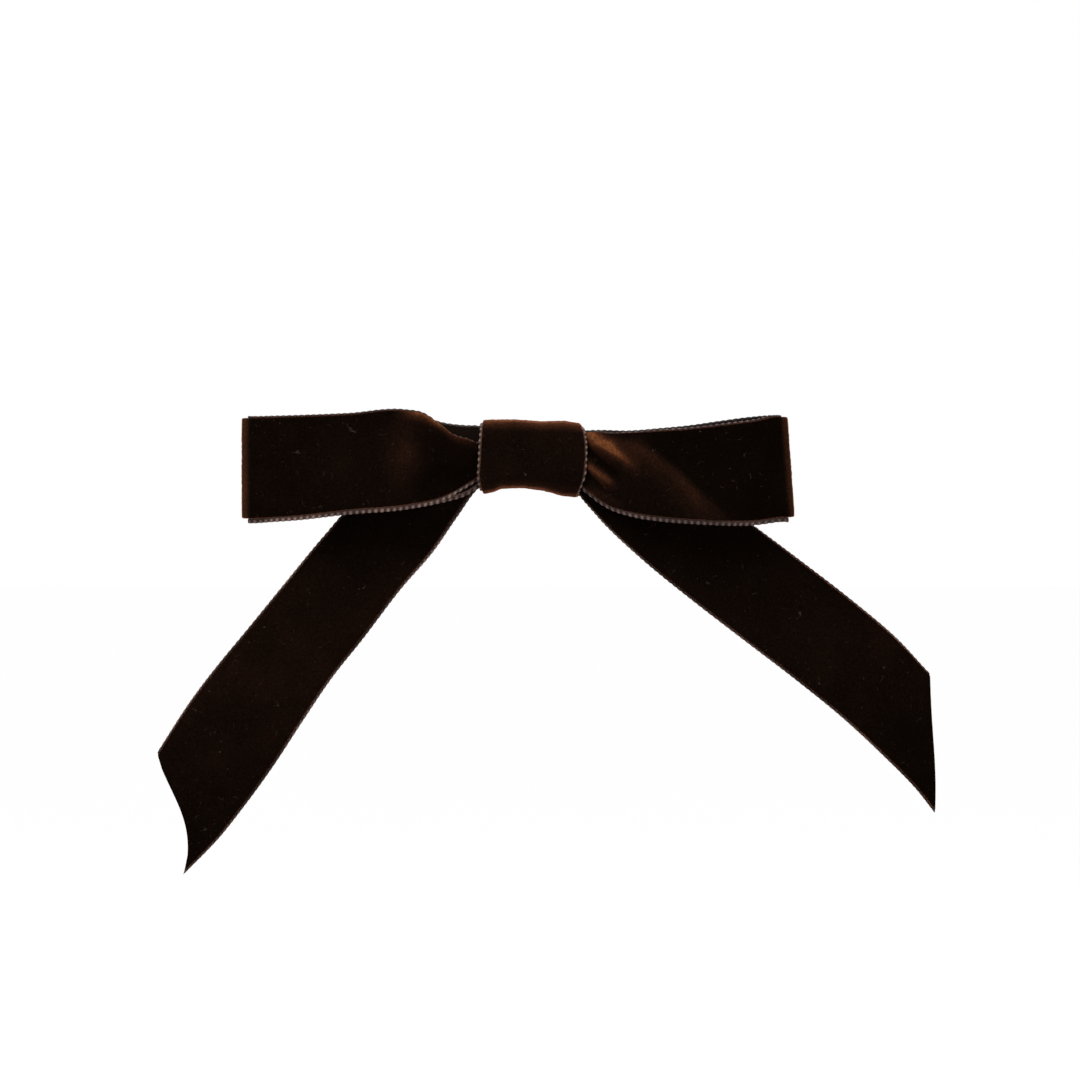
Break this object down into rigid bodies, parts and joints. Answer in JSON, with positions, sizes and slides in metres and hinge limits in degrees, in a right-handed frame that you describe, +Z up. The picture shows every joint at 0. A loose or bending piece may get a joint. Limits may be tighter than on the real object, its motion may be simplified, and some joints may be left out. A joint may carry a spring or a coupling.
{
  "type": "hair bow",
  "caption": "Velvet ribbon hair bow with two flat loops, a wrapped knot and two slant-cut tails, on a sprung alligator clip.",
  "frame": {"origin": "on the gripping face of the clip's fixed jaw, behind the middle of the knot", "axes": "+X to the right as the bow's face is seen, +Z up as it is worn, the face looks along -Y and the head lies towards +Y"},
  "size_m": [0.1625, 0.0239, 0.0951],
  "materials": {
    "velvet_ribbon": "dark brown cut pile with a woven selvedge",
    "sewing_thread": "dark brown polyester thread",
    "hot_glue": "translucent, smooth",
    "plated_sheet_steel": "nickel plated, satin",
    "pin_steel": "nickel plated",
    "spring_steel": "drawn wire"
  },
  "bodies": {
    "bow": {"loop_ribbon": "velvet_ribbon", "left_tail": "velvet_ribbon", "right_tail": "velvet_ribbon", "knot_band": "velvet_ribbon", "binding_thread": "sewing_thread", "glue_pad": "hot_glue", "band_glue": "hot_glue", "fixed_jaw": "plated_sheet_steel", "hinge_pin": "pin_steel", "clip_spring": "spring_steel"},
    "moving_jaw": {"moving_jaw": "plated_sheet_steel"}
  },
  "joints": [
    {"name": "clip_hinge", "type": "hinge", "parent": "bow", "child": "moving_jaw", "pos_m": [0.0145, 0.0021, 0], "axis": [0, 0, -1], "range_deg": [0, 28], "stiffness_Nm_per_rad": 0.04, "springref_deg": -34.38, "deforming": ["clip_spring"]}
  ]
}
